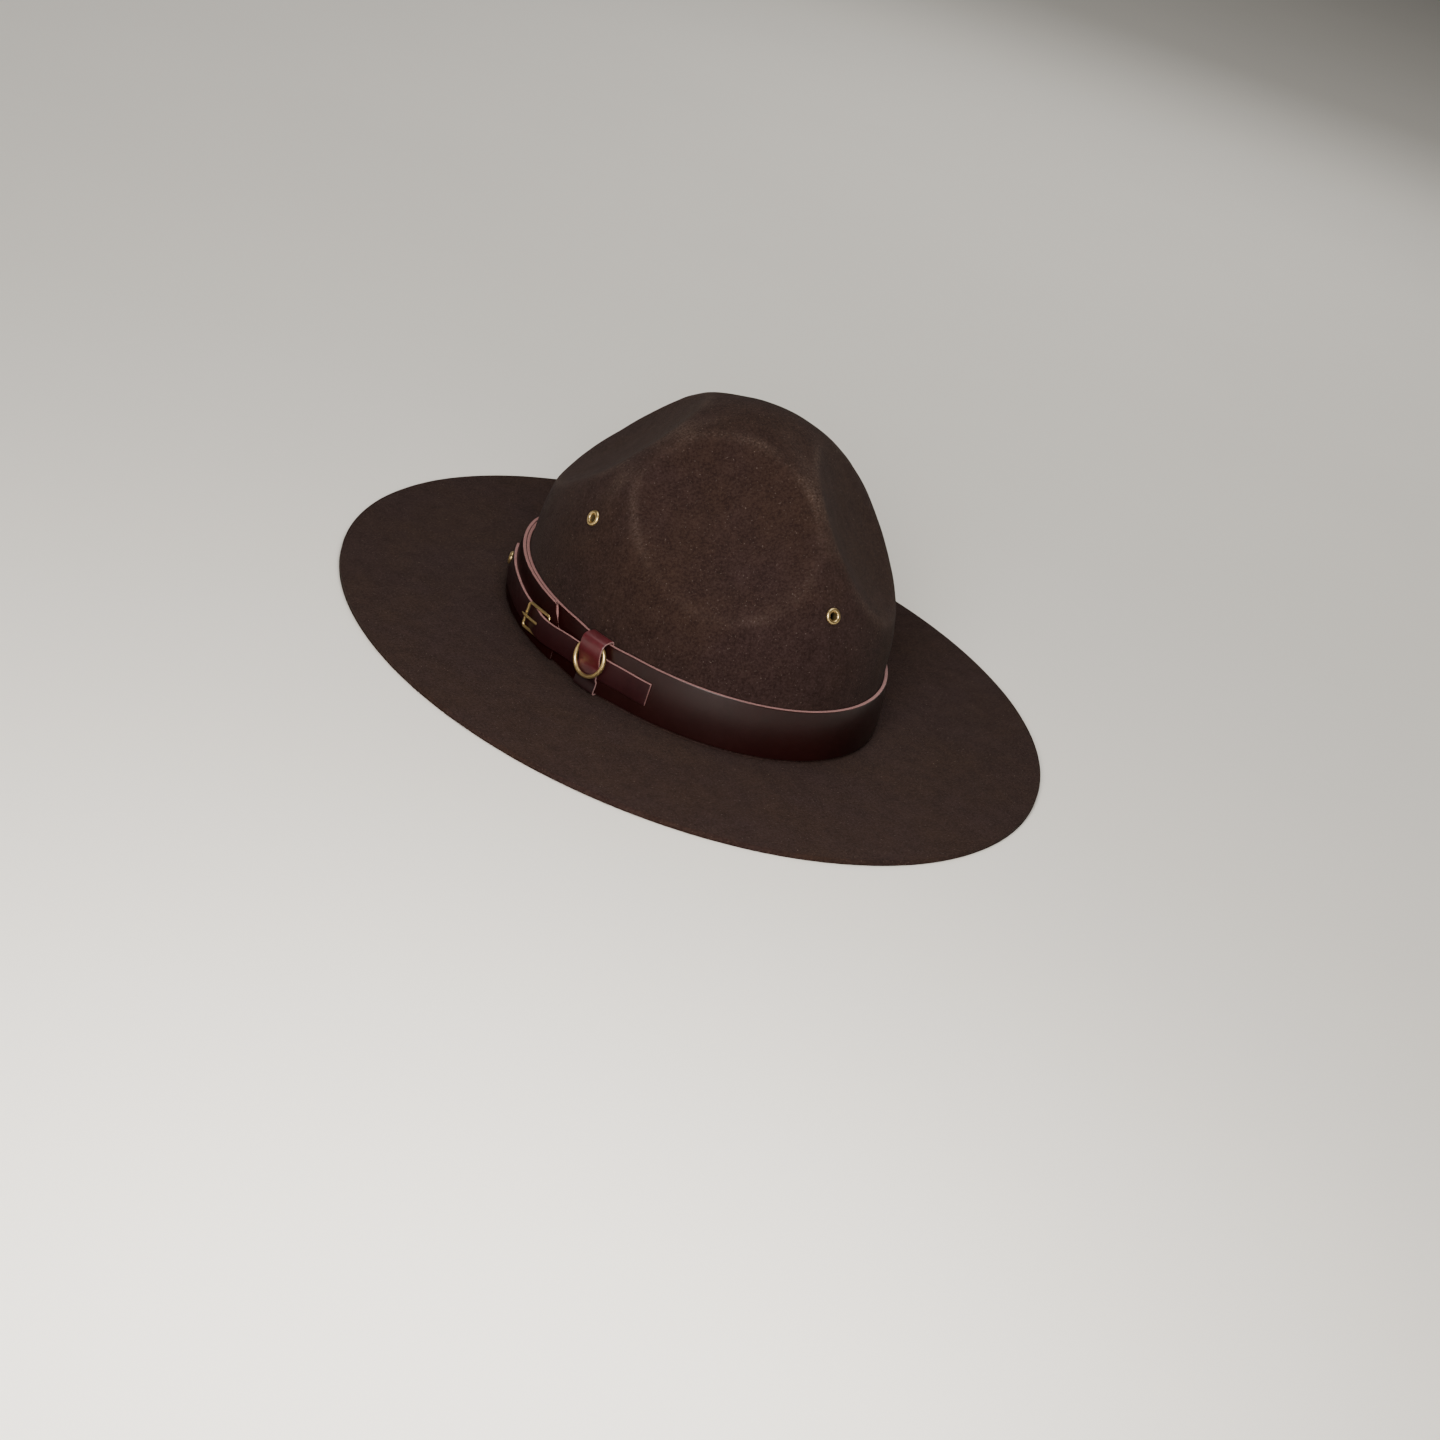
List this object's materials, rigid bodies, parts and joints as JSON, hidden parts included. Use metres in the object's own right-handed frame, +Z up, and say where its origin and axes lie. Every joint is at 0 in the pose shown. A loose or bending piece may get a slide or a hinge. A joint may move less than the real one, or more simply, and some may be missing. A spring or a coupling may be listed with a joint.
{
  "type": "campaign hat",
  "caption": "Felt campaign hat with a wide flat brim, a peaked crown dented at its corners, brass eyelets, and a leather band with a buckled strap and a ring in a leather keeper.",
  "frame": {"origin": "centre of the brim's underside, under the peak of the crown", "axes": "+Z up through the crown's peak, +Y towards the back of the hat, +X towards the wearer's left, where the buckled strap is"},
  "size_m": [0.3408, 0.3828, 0.1327],
  "materials": {
    "felt": "dark brown brushed wool felt with a short soft nap",
    "band_leather": "dark oxblood polished leather with raw pinkish tan edges",
    "keeper_leather": "dark red polished leather",
    "brass": "polished brass, slightly aged"
  },
  "bodies": {
    "root": {"felt_body": "felt", "hat_band": "band_leather", "buckle_strap": "band_leather", "buckle_chape": "band_leather", "keeper_loop": "keeper_leather", "buckle_frame": "brass", "buckle_tongue": "brass", "keeper_ring": "brass", "strap_rivet": "brass", "eyelet_left": "brass", "eyelet_back": "brass", "eyelet_right": "brass", "eyelet_front": "brass"}
  },
  "joints": []
}
